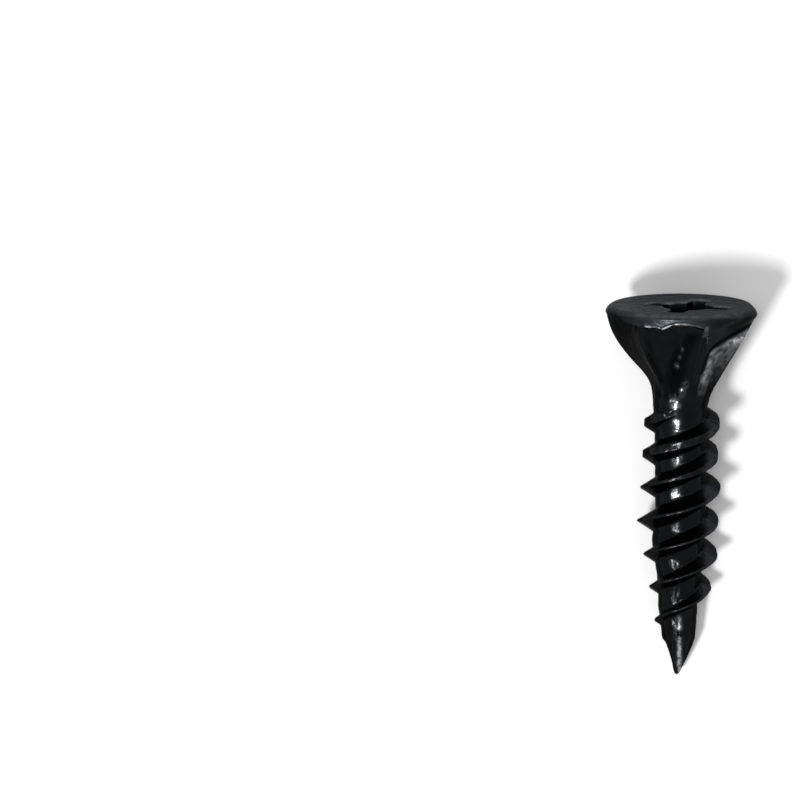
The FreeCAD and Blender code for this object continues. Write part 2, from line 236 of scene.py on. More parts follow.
# Thread: right-hand, two ridges, each with the radius of its crest at depths
LEAD = 3.62
THREAD_TOP = 5.0
THREAD_FOOT = 17.9
RIDGE_BEGIN = 5.153
RIDGE_ANGLE = 15.0
RIDGE_CRESTS = (
    ((5.1, 1.30), (5.5, 1.52), (6.2, 1.90), (8.01, 2.02), (9.82, 2.08), (11.63, 2.09),
     (13.44, 1.90), (15.25, 1.72), (16.2, 1.47), (17.06, 1.25), (17.55, 0.90), (18.5, 0.3)),
    ((5.1, 1.30), (5.6, 1.80), (6.2, 2.10), (8.01, 1.98), (9.82, 2.17), (11.63, 2.25),
     (13.44, 2.04), (15.25, 1.56), (16.1, 1.22), (16.6, 0.95), (18.5, 0.3)),
)
CREST_HALF_WIDTH = ((5.0, 0.20), (8.0, 0.19), (9.4, 0.06), (18.0, 0.04))
FLANK_SLOPE = 30.0
# How far the first turn lies lower than the helix, and where that shift runs out
FIRST_TURN_SHIFT = 0.12
SHIFT_BEGIN, SHIFT_LENGTH = 6.0, 2.5
CREST_ROUND, ROOT_ROUND = 0.05, 0.12
CORE_LEFT = (
    (5.0, 1.46), (5.5, 1.42), (7.1, 1.34), (8.9, 1.29), (11.1, 1.28), (11.9, 1.29),
    (12.3, 1.4), (12.7, 1.44), (13.0, 1.42), (13.5, 1.3), (14.0, 1.27), (14.6, 1.17),
    (16.3, 1.06), (17.2, 0.97), (17.9, 0.88),
)
CORE_RIGHT = (
    (5.0, 1.55), (5.5, 1.44), (7.1, 1.40), (8.9, 1.40), (11.1, 1.40), (12.6, 1.27),
    (14.2, 1.22), (15.0, 1.12), (16.3, 0.99), (17.2, 0.93), (17.9, 0.89),
)
ROWS_FROM_CREST = (
    0.0, 0.03, 0.06, 0.09, 0.125, 0.17, 0.21, 0.25, 0.30, 0.36, 0.42, 0.48, 0.55, 0.63,
    0.72, 0.81,
)
# How much painted light the flanks on the right get, as a share of the top face's painted
# grey sheen, from which sine of the angle and over which span of it, and how far from the
# core and over which height
FLANK_SHEEN = 0.38
FLANK_SIDE = (0.5, 0.35)
FLANK_HEIGHT = (0.06, 0.15)
# How much the crests are rubbed
CREST_RUB = 0.05
# Height over the core at which a crest is rubbed fully, and how far past the crest's width
CREST_RUB_HEIGHT, CREST_RUB_PAST = 0.3, 0.05
# Height over the core up to which the core's painted highlight streak reaches
CORE_STREAK_HEIGHT = 0.2
# How far inside the core a ridge starts, how far before its first place it begins to rise,
# and over which length
RIDGE_SUNK, RIDGE_BEFORE, RIDGE_RISE = 0.2, 0.25, 0.4
# Length over which dents and finish end softly at the thread's top and foot
THREAD_ENDS = 0.05

# Point: depth, radius and shift to the side
POINT_OUTLINE = (
    (17.9, 0.885, 0.005), (18.12, 0.80, 0.04), (18.34, 0.71, 0.065), (18.55, 0.635, 0.06),
    (18.77, 0.55, 0.05), (18.99, 0.47, 0.04), (19.21, 0.39, 0.02), (19.42, 0.31, -0.005),
    (19.64, 0.24, -0.04), (19.80, 0.18, -0.06), (19.90, 0.135, -0.07), (19.96, 0.09, -0.08),
    (19.99, 0.045, -0.08),
)
POINT_END = 20.0
POINT_ROWS = 26
# Length over which the core goes over into the point
POINT_BEGIN = 0.3

# Unevenness of the surfaces: height, size from hump to hump, and seed. That of the hollows
# is a share of their depth, and that of the point a share of its front.
HOLLOW_WAVES = (0.07, 0.9, 3)
CUT_WAVES = (0.03, 0.16, 5)
CONE_WAVES = (0.010, 1.1, 9)
TOP_WAVES = ((0.012, 1.3, 21), (0.004, 0.35, 22))
RIM_DENTS = ((0.014, 0.8, 31), (0.006, 0.25, 32))
CREST_WAVES = ((0.035, 0.75, 41), (0.012, 0.22, 42))
THREAD_DENTS = ((0.03, 0.6, 43), (0.016, 0.3, 44))
THREAD_WAVE_RADIUS = 1.8
POINT_WAVES = (0.035, 0.45, 51)

# Columns round the screw: in each sector from a rib to the next, so many for half a rib
# and for its side, and the rest for the hollow
COLUMNS_PER_SECTOR = 42
RIB_COLUMNS = 3
SIDE_COLUMNS = 6
SECTORS = len(RIB_ANGLES)
COLUMNS = COLUMNS_PER_SECTOR * SECTORS

# Rows down the underside: the band above the hollows, their upper walls, and the rest
BAND_ROWS = 12
WALL_ROWS = 5
CONE_ROWS = 52
# Powers that set the band's and the cone's rows close, and that fade the hollows out
BAND_CLOSE, CONE_CLOSE, RUN_OUT_FADE = 1.8, 1.05, 0.9
# Depth below the rim's foot over which a bead grows to its height
BEAD_GROWS = 0.06


def curve_through(stations, at):
    """Smooth curve through (place, value) stations that never swings past them."""
    place = np.array([station[0] for station in stations], float)
    value = np.array([station[1] for station in stations], float)
    run = np.diff(place)
    slope = np.diff(value) / run
    tangent = np.zeros(len(place))
    tangent[0], tangent[-1] = slope[0], slope[-1]
    same_way = slope[:-1] * slope[1:] > 0
    mean = 2 * slope[:-1] * slope[1:] / np.where(same_way, slope[:-1] + slope[1:], 1)
    tangent[1:-1] = np.where(same_way, mean, 0)
    at = np.clip(np.asarray(at, float), place[0], place[-1])
    index = np.clip(np.searchsorted(place, at, side="right") - 1, 0, len(run) - 1)
    share = (at - place[index]) / run[index]
    low, high = value[index], value[index + 1]
    low_way, high_way = tangent[index] * run[index], tangent[index + 1] * run[index]
    square, cube = share ** 2, share ** 3
    return ((2 * cube - 3 * square + 1) * low + (cube - 2 * square + share) * low_way
            + (3 * square - 2 * cube) * high + (cube - square) * high_way)


def ease(value):
    """0 to 1 with soft ends."""
    value = np.clip(value, 0, 1)
    return value * value * (3 - 2 * value)


def rising(value, begin, length):
    """0 up to a beginning, then softly up to 1 over a length."""
    return ease((value - begin) / length)


def falling(value, finish, length):
    """1, then softly down to 0 over a length that ends at a finish."""
    return ease((finish - value) / length)


def peak(value, middle, half_width, power=2):
    """1 at the middle, and about a third at a half width to either side."""
    return np.exp(-((value - middle) / half_width) ** power)


def mixed(low, high, share):
    return low + (high - low) * share


def waves(points, size, seed):
    """Even, repeatable unevenness between about -1 and 1, for rows of points."""
    shift = Vector((seed * 7.31, seed * 3.17, seed * 5.71))
    flat = points.reshape(-1, 3) / size
    found = [noise.noise(Vector(point) + shift) for point in flat]
    return np.array(found).reshape(points.shape[:-1])


def uneven(points, *kinds):
    """Sum of kinds of unevenness, each with its height, size and seed."""
    return sum(height * waves(points, size, seed) for height, size, seed in kinds)


def turned_from(angle, middle):
    """How far angles in radians are from a middle in degrees, by the shorter way round."""
    return (angle - math.radians(middle) + math.pi) % (2 * math.pi) - math.pi


def ring_points(radius, angle, depth):
    """Points at radii, angles in radians and depths."""
    radius, angle, depth = np.broadcast_arrays(radius, angle, depth)
    return np.stack([radius * np.sin(angle), radius * np.cos(angle), depth], axis=-1)


def sector_angles(rib_reach, side_reach):
    """Angles of all columns, for a rib's half width and its side, all in radians."""
    rib_end, side_end = RIB_COLUMNS, SIDE_COLUMNS
    knots = (0, rib_end, side_end, COLUMNS_PER_SECTOR - side_end,
             COLUMNS_PER_SECTOR - rib_end, COLUMNS_PER_SECTOR)
    columns = np.arange(COLUMNS_PER_SECTOR)
    edge, foot = rib_reach, rib_reach + side_reach
    angles = []
    for sector in range(SECTORS):
        begin = math.radians(RIB_ANGLES[sector])
        finish = math.radians(RIB_ANGLES[(sector + 1) % SECTORS])
        if finish < begin:
            finish += 2 * math.pi
        places = (begin, begin + edge, begin + foot, finish - foot, finish - edge, finish)
        angles.append(np.interp(columns, knots, places))
    return np.concatenate(angles)


EVEN_REACH = math.radians(360 / COLUMNS) * RIB_COLUMNS
EVEN_ANGLES = sector_angles(EVEN_REACH, EVEN_REACH)


def both_sides(left, right, angle, depth):
    """Radius that changes round the screw from a left to a right curve."""
    share = (1 + np.sin(angle)) / 2
    return mixed(curve_through(left, depth), curve_through(right, depth), share)


def head_outline(angle, depth):
    return both_sides(HEAD_LEFT, HEAD_RIGHT, angle, depth)


def core_radius(angle, depth):
    return both_sides(CORE_LEFT, CORE_RIGHT, angle, depth)


def neck_swell(angle, depth):
    """Height of the neck's front, where it stays straight down to the thread."""
    middle, place, half_length, height = NECK_SWELL
    facing = np.clip(np.cos(angle - math.radians(middle)), 0, 1) ** 3
    return height * facing * peak(depth, place, half_length)


def highlight_streak(angle, depth, streak):
    """Mask of a painted highlight streak along the screw."""
    middle, place, half_width, half_length = streak
    across = peak(turned_from(angle, middle), 0, math.radians(half_width))
    return across * peak(depth, place, half_length, 4)


def point_streak(rows):
    """Mask of the painted highlight streak that runs down the front of the point."""
    side, place, half_width, half_length = POINT_STREAK
    along = peak(rows[..., 2], place, half_length, 6)
    return POINT_HIGHLIGHT * along * peak(rows[..., 0], side, half_width) * (rows[..., 1] > 0)


def around_rim(stations, angles):
    """Values at angles in radians of a curve from -90 round to 270 degrees."""
    return curve_through(stations, (np.degrees(angles) + 90) % 360 - 90)


# Underside of the head

def of_hollows(name):
    """A value of every hollow, given to each of its columns."""
    return np.repeat([hollow[name] for hollow in HOLLOWS], COLUMNS_PER_SECTOR)


def soft_ends(share, size):
    """1 across a hollow, and softly down to 0 over a share of it at both ends."""
    return ease(share / size) * ease((1 - share) / size)


def upper_edges():
    """Depth of the hollows' upper edge at each column, and how far across its hollow it is."""
    columns = np.arange(COLUMNS_PER_SECTOR)
    on_rib = columns < RIB_COLUMNS
    share = np.clip((columns - RIB_COLUMNS) / (COLUMNS_PER_SECTOR - 2 * RIB_COLUMNS), 0, 1)
    depths = [curve_through(hollow["edge"], share) for hollow in HOLLOWS]
    for sector in range(SECTORS):
        before = depths[sector - 1][-1]
        own = depths[sector][RIB_COLUMNS]
        across_rib = mixed(before, own, columns / RIB_COLUMNS)
        depths[sector] = np.where(on_rib, across_rib, depths[sector])
    return np.concatenate(depths), np.tile(share, SECTORS)


def row_angles(depth):
    """Angles of one row's columns: the ribs keep their width, and run out at the neck."""
    middle = float(curve_through(HEAD_RIGHT, depth.mean()))
    spread = float(rising(depth.mean(), SPREAD_BEGIN, SPREAD_LENGTH))
    reach = mixed(RIB_HALF / middle, EVEN_REACH, spread)
    side = mixed(RIB_SIDE / middle, EVEN_REACH, spread)
    return sector_angles(reach, side)


def on_line(start, finish, angle):
    """Distance from the axis, at angles, of the straight line between two points."""
    way = finish - start
    cross = start[0] * way[1] - start[1] * way[0]
    return cross / (np.sin(angle) * way[1] - np.cos(angle) * way[0])


def flat_point(radius, angle):
    return np.array([radius * math.sin(angle), radius * math.cos(angle)])


def hollow_floor(angle, radius, hollow, run_out):
    """Distance from the axis of one hollow's two sloping floors, at its own columns."""
    first, last = SIDE_COLUMNS, COLUMNS_PER_SECTOR - SIDE_COLUMNS
    drop = RIB_DROP * run_out
    left = flat_point(radius[first] - drop, angle[first])
    right = flat_point(radius[last] - drop, angle[last])
    valley_angle = mixed(angle[first], angle[last], hollow["low"])
    valley_radius = np.interp(valley_angle, angle, radius) - hollow["deep"] * run_out
    valley = flat_point(valley_radius, valley_angle)
    floor = np.where(angle < valley_angle, on_line(left, valley, angle),
                     on_line(valley, right, angle))
    for _ in range(2):
        floor[1:-1] = (floor[:-2] + 2 * floor[1:-1] + floor[2:]) / 4
    columns = np.arange(len(angle))
    side = SIDE_COLUMNS - RIB_COLUMNS
    sides = rising(columns, RIB_COLUMNS, side)
    sides = sides * falling(columns, COLUMNS_PER_SECTOR - RIB_COLUMNS, side)
    return mixed(radius, np.minimum(floor, radius), sides)


def row_floor(angle, radius, run_out):
    """Distance from the axis of all the hollows' floors along one row."""
    closed_angle = np.append(angle, angle[0] + 2 * math.pi)
    closed_radius = np.append(radius, radius[0])
    closed_run_out = np.append(run_out, run_out[0])
    floor = radius.copy()
    for sector, hollow in enumerate(HOLLOWS):
        begin = sector * COLUMNS_PER_SECTOR
        own = slice(begin, begin + COLUMNS_PER_SECTOR + 1)
        fall = closed_run_out[own].mean()
        found = hollow_floor(closed_angle[own], closed_radius[own], hollow, fall)
        floor[begin:begin + COLUMNS_PER_SECTOR] = found[:-1]
    return floor


def right_rib_side():
    """Side and slanted depth of the edge of the rib beside the right hollow."""
    depth = np.linspace(0.5, THREAD_TOP, 60)
    turn = math.radians(RIB_ANGLES[RIGHT_HOLLOW]) + RIB_HALF / curve_through(HEAD_RIGHT, depth)
    radius = head_outline(turn, depth)
    return radius * np.sin(turn), depth + SLANT * radius * np.cos(turn)


class Underside:
    """Rows of points down the head's underside, with its ribs and hollows, and their finish
    with its painted shade, painted light and painted highlights.

    An array here has a value for each row and column, or for each column. The rows of the
    band above the hollows come first, then their upper walls, then the rest of the cone.
    """

    def __init__(self):
        self.row = np.arange(BAND_ROWS + WALL_ROWS + CONE_ROWS)[:, None]
        self.on_band = self.row < BAND_ROWS
        self.on_cone = self.row >= BAND_ROWS + WALL_ROWS
        self.column = np.tile(np.arange(COLUMNS_PER_SECTOR), SECTORS)
        hollow = np.repeat(np.arange(SECTORS), COLUMNS_PER_SECTOR)
        self.right, self.left = hollow == RIGHT_HOLLOW, hollow == LEFT_HOLLOW
        self.front = hollow == FRONT_HOLLOW
        self.edge, self.share = upper_edges()
        self.across = soft_ends(self.share, BEAD_ENDS)
        self.foot = around_rim(RIM_FOOT, EVEN_ANGLES)
        wall_share = np.arange(1, WALL_ROWS + 1) / WALL_ROWS
        self.depth = self.row_depths(wall_share)
        self.angle = np.array([row_angles(depth) for depth in self.depth])
        self.outline = (head_outline(self.angle, self.depth)
                        + neck_swell(self.angle, self.depth))
        left_over = (HOLLOWS_END - self.depth) / (HOLLOWS_END - HOLLOWS_BEGIN)
        self.run_out = np.clip(left_over, 0, 1) ** RUN_OUT_FADE
        rows = zip(self.angle, self.outline, self.run_out)
        floor = np.array([row_floor(*row) for row in rows])
        opened = np.concatenate([np.zeros(BAND_ROWS), ease(wall_share), np.ones(CONE_ROWS)])
        self.cut = (self.outline - floor) * opened[:, None]
        self.inside = ease(self.cut / CUT_SOFT)
        self.shape()
        self.measure_right_hollow()

    def row_depths(self, wall_share):
        band_share = 1 - (1 - np.arange(BAND_ROWS) / (BAND_ROWS - 1)) ** BAND_CLOSE
        cone_share = (np.arange(1, CONE_ROWS + 1) / CONE_ROWS) ** CONE_CLOSE
        wall_height = of_hollows("wall")
        return np.concatenate([
            mixed(self.foot, self.edge, band_share[:, None]),
            self.edge + wall_height * wall_share[:, None],
            mixed(self.edge + wall_height, THREAD_TOP, cone_share[:, None]),
        ])

    def shape(self):
        """Works out the points, and the mask of the painted highlights on the small raised
        places.
        """
        place = ring_points(self.outline, self.angle, self.depth)
        cut = self.cut * (1 + uneven(place, HOLLOW_WAVES))
        cut = cut + self.inside * of_hollows("rough") * uneven(place, CUT_WAVES)
        below = self.depth - self.foot
        upright = head_outline(self.angle, self.foot) - LIP_INSET - LIP_SLOPE * below
        lip = self.front * soft_ends(self.share, LIP_ENDS) * self.on_band
        lip = LIP_SHARE * lip * (upright - self.outline)
        bead = BEAD_HEIGHT * of_hollows("lip") * self.across * ease(below / BEAD_GROWS)
        bead = bead * peak(self.depth - self.edge, -BEAD_ABOVE, BEAD_HALF)
        radius = self.outline - cut + lip + bead + uneven(place, CONE_WAVES)
        # Painted highlights on the rib's end beside the front hollow's lip and on each speck
        rubbed = self.front & (self.column >= COLUMNS_PER_SECTOR - HIGHLIT_RIB_COLUMNS)
        rubbed = rubbed & (self.depth > HIGHLIT_RIB_DEPTHS[0]) & (self.depth < HIGHLIT_RIB_DEPTHS[1])
        self.bright = RIB_HIGHLIGHT * rubbed
        for middle, depth, height, size in SPECKS:
            aside = turned_from(self.angle, middle) * radius
            apart = aside ** 2 + ((self.depth - depth) / SPECK_LENGTH) ** 2
            bump = np.exp(-apart / size ** 2)
            radius = radius + height * bump
            self.bright = np.maximum(self.bright, min(1.0, SPECK_SHINE * height) * bump)
        self.points = ring_points(radius, self.angle, self.depth)

    def measure_right_hollow(self):
        """How far points are below the right hollow's upper edge and beside its rib."""
        side = self.points[..., 0]
        self.slanted = self.points[..., 2] + SLANT * self.points[..., 1]
        edge_side = side[BAND_ROWS - 1, self.right]
        edge_slanted = self.slanted[BAND_ROWS - 1, self.right]
        below = self.slanted - np.interp(side, edge_side, edge_slanted)
        self.below_edge = below / EDGE_LINE
        rib_side, rib_slanted = right_rib_side()
        beside = side - np.interp(self.slanted, rib_slanted, rib_side)
        self.beside_rib = beside / RIB_LINE

    def over_lip(self):
        """Mask of the band's strip over the front hollow's lip, which gets painted grey sheen
        and painted shade.
        """
        above, half_width = OVER_LIP
        over = peak(self.depth - self.edge, -above, half_width, 4)
        return over * self.front * self.across * self.on_band

    def sheen_grey(self):
        """How much of the top face's painted grey sheen, with its rougher finish, comes down
        over the band.
        """
        fading = np.interp(self.row, SHEEN_ROWS, (1, 0))
        kept = around_rim(BAND_SHEEN, self.angle) * fading
        return np.maximum(kept, OVER_LIP_SHEEN * self.over_lip())

    def painted_shade(self):
        """Painted shade on the hollows' walls and floors, with the painted shadow line in the
        right hollow, left off the painted highlights.
        """
        beside = self.beside_rib + rising(self.slanted, *RIB_LINE_END)
        right_wall = 1 - ease(np.minimum(self.below_edge, beside) ** 2)
        middle = np.interp(self.depth, DARK_DEPTHS, DARK_MIDDLES)
        half = np.interp(self.depth, DARK_DEPTHS, DARK_HALVES)
        front_wall = peak(self.share, middle, half, 4) * rising(self.depth, *FRONT_WALL_FROM)
        below_band = self.inside * ~self.on_band
        on_floor = self.inside * self.on_cone
        upper_rows = self.row < BAND_ROWS + WALL_ROWS - 1
        left_rib = self.front & (self.column < SIDE_COLUMNS)
        places = {
            "front wall": front_wall * self.front * below_band,
            "upper walls": upper_rows * below_band,
            "front floor": self.front * on_floor * self.run_out ** 0.5,
            "left floor": self.left * on_floor,
            "left rib": left_rib * rising(self.depth, *LEFT_RIB_FROM),
            "over lip": self.over_lip(),
        }
        layers = [PAINTED_SHADE_LEVELS[name] * place for name, place in places.items()]
        dark = np.maximum.reduce([right_wall * self.right * below_band, *layers])
        return dark * (1 - np.clip(self.bright, 0, 1))

    def lit_rough_cut(self):
        """How much the hollows' floors show the torn, mottled cut, with painted light on it
        that is strongest in the right hollow.
        """
        beyond = rising(self.share, of_hollows("low"), CUT_CHANGE)
        floor = mixed(CUT_EVEN, self.run_out ** CUT_FADE, beyond)
        return self.inside * of_hollows("rough") * self.run_out ** 0.5 * floor

    def wear_and_highlight(self):
        """How much the coat is rubbed away: lip, light strips, raised places and neck."""
        above, half_width, strength = LIP_HIGHLIGHT_LINE
        lip = strength * peak(self.depth - self.edge, -above, half_width) * self.across
        lip = lip * self.front * curve_through(LIP_SHINE, self.share)
        edge_strip = peak(self.below_edge, *EDGE_STRIP) * falling(self.share, *EDGE_STRIP_END)
        rib_strip = RIB_STRIP_LIGHT * peak(self.beside_rib, *RIB_STRIP)
        rib_strip = rib_strip * rising(self.slanted, *RIB_STRIP_BEGIN)
        rib_strip = rib_strip * falling(self.slanted, *RIB_STRIP_END)
        middle, half_width, strength = FAR_PATCH
        far_patch = strength * peak(self.share, middle, half_width)
        far_patch = far_patch * rising(self.below_edge, *FAR_PATCH_BEGIN)
        far_patch = far_patch * falling(self.depth, *FAR_PATCH_END)
        strips = np.maximum.reduce([edge_strip, rib_strip, far_patch])
        strips = strips * self.right * ~self.on_band
        neck = highlight_streak(self.angle, self.depth, NECK_STREAK)
        return np.maximum.reduce([lip, self.bright, strips, neck])

    def masks(self):
        painted_shade = self.painted_shade()
        return {"wear_and_highlight": self.wear_and_highlight(), "lit_rough_cut": self.lit_rough_cut() * (1 - painted_shade),
                "painted_shade": painted_shade, "sheen_grey": self.sheen_grey()}


# Recess, top and rim of the head

def recess_wing(depth):
    """Outline of one wing of the recess at a depth, from the web round its end and back."""
    span = WING_HALF_SPAN - depth * math.tan(math.radians(END_LEAN))
    width = WING_HALF_WIDTH - depth * math.tan(math.radians(SIDE_LEAN))
    web = max(WEB_RADIUS - depth * math.tan(math.radians(WEB_LEAN)), width * 1.12)
    half_turn = math.asin(width / web)
    arc = [(web * math.cos(turn), web * math.sin(turn))
           for turn in np.linspace(-math.pi / 4, -half_turn, 9)]
    start = arc[-1][0]
    corner = min(WING_CORNER, width * 0.4)
    side = [(mixed(start, span - corner, share), -width)
            for share in np.linspace(0, 1, 13)[1:]]
    bend = [(span - corner + corner * math.sin(turn), -width + corner - corner * math.cos(turn))
            for turn in np.linspace(0, math.pi / 2, 7)[1:]]
    end = [(span + WING_BOW * (1 - (height / (width - corner)) ** 2), height)
           for height in np.linspace(-width + corner, 0, 6)[1:]]
    half = arc + side + bend + end
    mirrored = [(x, -y) for x, y in reversed(half[:-1])]
    return np.array(half + mirrored)


def recess_outline(depth):
    """The recess's whole outline at a depth, with one point for each column."""
    wing = recess_wing(depth)
    step = np.linspace(0, len(wing) - 1, COLUMNS // 4 + 1)[:-1]
    index = np.arange(len(wing))
    along = np.interp(step, index, wing[:, 0])
    across = np.interp(step, index, wing[:, 1])
    points = []
    for number in range(4):
        turn = math.radians(90 * number + RECESS_TURN)
        x = along * math.cos(turn) - across * math.sin(turn)
        y = along * math.sin(turn) + across * math.cos(turn)
        points.append(np.stack([x, y], axis=-1))
    return np.concatenate(points)[::-1] + RECESS_CENTRE


def outward_from_recess(points):
    """Directions of flat points as seen from the recess's middle."""
    way = points - RECESS_CENTRE
    return way / np.linalg.norm(way, axis=-1)[:, None]


def line_up(points, angles):
    """How far a closed outline's numbering is turned to face the rim's columns best."""
    facing = np.stack([np.sin(angles), np.cos(angles)], axis=-1)
    way = outward_from_recess(points)
    scores = [float((np.roll(way, shift, axis=0) * facing).sum()) for shift in range(COLUMNS)]
    return int(np.argmax(scores))


def recess_levels(shift):
    """The recess's floor and walls upwards: flat points, depth, and masks of painted glint and
    painted shade.
    """
    foot = np.roll(recess_outline(RECESS_DEPTH), shift, axis=0)
    # The floor lies in full painted shade
    for size, depth in RECESS_FLOOR:
        yield RECESS_CENTRE + (foot - RECESS_CENTRE) * size, depth, 0.0, 1.0
    for depth in WALL_LEVELS:
        outline = np.roll(recess_outline(depth), shift, axis=0)
        # A painted glint on one corner of the wall, and painted shade that darkens with depth
        apart = ((outline - GLINT_CORNER) ** 2).sum(axis=-1)
        wear_and_highlight = GLINT_STRENGTH * np.exp(-apart / GLINT_SIZE ** 2)
        wear_and_highlight = wear_and_highlight * falling(depth, *GLINT_END)
        yield outline, depth, wear_and_highlight, mixed(WALL_TOP_SHADE, 1.0, ease(depth / WALL_SHADE_DEPTH))


def mouth_levels(mouth):
    """The rounded mouth of the recess, in the same form."""
    for turn in (25, 50, 75):
        reach = MOUTH_ROUND * (1 - math.cos(math.radians(turn)))
        sink = MOUTH_ROUND * (1 - math.sin(math.radians(turn)))
        yield mouth + outward_from_recess(mouth) * reach, sink, MOUTH_WEAR, MOUTH_SHADE


def top_levels(mouth, rim):
    """The top face from the recess's mouth out to the rim, in the same form."""
    start = mouth + outward_from_recess(mouth) * MOUTH_ROUND
    for share in TOP_SHARES:
        lip = MOUTH_LIP * peak(share, LIP_OUT, LIP_HALF)
        wear_and_highlight = MOUTH_WEAR * peak(share, 0, MOUTH_WEAR_HALF)
        yield start + (rim - start) * share, -lip, wear_and_highlight, 0.0


def head_top(rim_angles, rim_row):
    """Rows of points from the recess's floor up and out to the rim, and their masks."""
    mouth = recess_outline(0.0)
    shift = line_up(mouth, rim_angles)
    mouth = np.roll(mouth, shift, axis=0)
    levels = [*recess_levels(shift), *mouth_levels(mouth), *top_levels(mouth, rim_row[:, :2])]
    flat, depth, wear_and_highlight, painted_shade = zip(*levels)
    rows = [np.column_stack([points, np.full(COLUMNS, place)])
            for points, place in zip(flat, depth)]
    wear_and_highlight = [np.broadcast_to(value, COLUMNS) for value in (*wear_and_highlight, 0.0)]
    painted_shade = np.array([*painted_shade, 0.0])[:, None]
    rows = np.array(rows)
    rows[:, :, 2] += uneven(rows, *TOP_WAVES) * (1 - painted_shade[:-1])
    rows = np.concatenate([rows, rim_row[None]])
    # The top face has the painted grey sheen wherever the recess's painted shade is not
    return rows, {"wear_and_highlight": np.array(wear_and_highlight), "painted_shade": painted_shade, "sheen_grey": 1 - painted_shade}


def shoulder_row(angles, share):
    """Points of the head's worn upper edge, a share of the way down its soft shoulder."""
    turn = share * math.pi / 2
    out = mixed(share, math.sin(turn), SHOULDER_ROUND)
    down = mixed(share, 1 - math.cos(turn), SHOULDER_ROUND)
    edge = head_outline(angles, around_rim(RIM_FOOT, angles))
    radius = edge - around_rim(SHOULDER_WIDTH, angles) * (1 - out)
    return ring_points(radius, angles, around_rim(SHOULDER_HEIGHT, angles) * down)


def rim(angles):
    """Rows of points down the shoulder, with its dents."""
    shares = np.linspace(0, 1, SHOULDER_ROWS)
    rows = np.array([shoulder_row(angles, share) for share in shares])
    dents = uneven(rows, *RIM_DENTS) * np.sin(shares * math.pi)[:, None]
    rows[:, :, :2] *= (1 + dents / HEAD_RADIUS)[:, :, None]
    return rows


# Thread and point

def soft_floor(value, floor, size):
    """The higher of a value and a floor, with their meeting rounded over a size."""
    gap = np.clip((size - np.abs(value - floor)) / size, 0, 1)
    return np.maximum(value, floor) + gap * gap * size / 4


def soft_top(value, top, size):
    """The lower of a value and a top, with their meeting rounded over a size."""
    return -soft_floor(-value, -top, size)


def thread_rows(seam):
    """Places of the rows along the seam, close together on the crests and flanks."""
    pitch = LEAD / 2
    bottom = THREAD_FOOT + LEAD
    crest = RIDGE_BEGIN + LEAD * (math.radians(RIDGE_ANGLE) - seam) / (2 * math.pi)
    offsets = sorted(set([-row for row in ROWS_FROM_CREST] + list(ROWS_FROM_CREST)))
    first_turn = math.floor((THREAD_TOP - crest) / pitch)
    last_turn = math.ceil((bottom - crest) / pitch)
    places = [crest + turn * pitch + offset for turn in range(first_turn, last_turn + 1)
              for offset in offsets]
    between = [place for place in places if THREAD_TOP < place < bottom]
    return np.array([THREAD_TOP, *between, bottom])


def ridge_shape(ridge, angle, depth, core, ragged):
    """Radius of one ridge over the core, and the mask of its crest."""
    turns = math.radians(RIDGE_ANGLE) + ridge * math.pi - angle
    base = RIDGE_BEGIN + LEAD * turns / (2 * math.pi)
    middle = base + np.round((depth - base) / LEAD) * LEAD
    crest = curve_through(RIDGE_CRESTS[ridge], middle) + ragged
    risen = rising(middle, RIDGE_BEGIN - RIDGE_BEFORE, RIDGE_RISE)
    crest = mixed(core - RIDGE_SUNK, crest, risen)
    middle = middle + FIRST_TURN_SHIFT * (1 - rising(middle, SHIFT_BEGIN, SHIFT_LENGTH))
    half = curve_through(CREST_HALF_WIDTH, middle)
    away = np.abs(depth - middle)
    flank = crest - (away - half) / math.tan(math.radians(FLANK_SLOPE))
    radius = soft_floor(soft_top(flank, crest, CREST_ROUND), core, ROOT_ROUND)
    rubbed = peak(away, 0, half + CREST_RUB_PAST, 4)
    return radius, rubbed * ease((crest - core) / CREST_RUB_HEIGHT)


def thread():
    """Rows of points that follow the ridges round from the neck to the point, and masks."""
    seam = EVEN_ANGLES[0]
    angle = np.append(EVEN_ANGLES, seam + 2 * math.pi)
    drop = LEAD * (angle - seam) / (2 * math.pi)
    depth = np.clip(thread_rows(seam)[:, None] - drop, THREAD_TOP, THREAD_FOOT)
    angle = np.broadcast_to(angle, depth.shape)
    core = core_radius(angle, depth) + neck_swell(angle, depth)
    around = ring_points(THREAD_WAVE_RADIUS, angle, depth)
    ragged = uneven(around, *CREST_WAVES)
    ridges = [ridge_shape(ridge, angle, depth, core, ragged)
              for ridge in range(len(RIDGE_CRESTS))]
    radius = np.maximum.reduce([core, *(shape for shape, _ in ridges)])
    crests = np.maximum.reduce([mask for _, mask in ridges])
    inner = rising(depth, THREAD_TOP, THREAD_ENDS) * falling(depth, THREAD_FOOT, THREAD_ENDS)
    rows = ring_points(radius + uneven(around, *THREAD_DENTS) * inner, angle, depth)
    on_core = 1 - ease((radius - core) / CORE_STREAK_HEIGHT)
    # Painted highlight streaks on the neck, core and point, and wear on the crests
    wear_and_highlight = np.maximum.reduce([
        highlight_streak(angle, depth, NECK_STREAK),
        CORE_HIGHLIGHT * on_core * highlight_streak(angle, depth, CORE_STREAK),
        CREST_RUB * crests * inner,
        point_streak(rows),
    ])
    # Painted light on the flanks on the right side
    on_flank = rising(np.sin(angle), *FLANK_SIDE) * rising(radius - core, *FLANK_HEIGHT)
    return rows, {"wear_and_highlight": wear_and_highlight, "sheen_grey": FLANK_SHEEN * on_flank * inner}


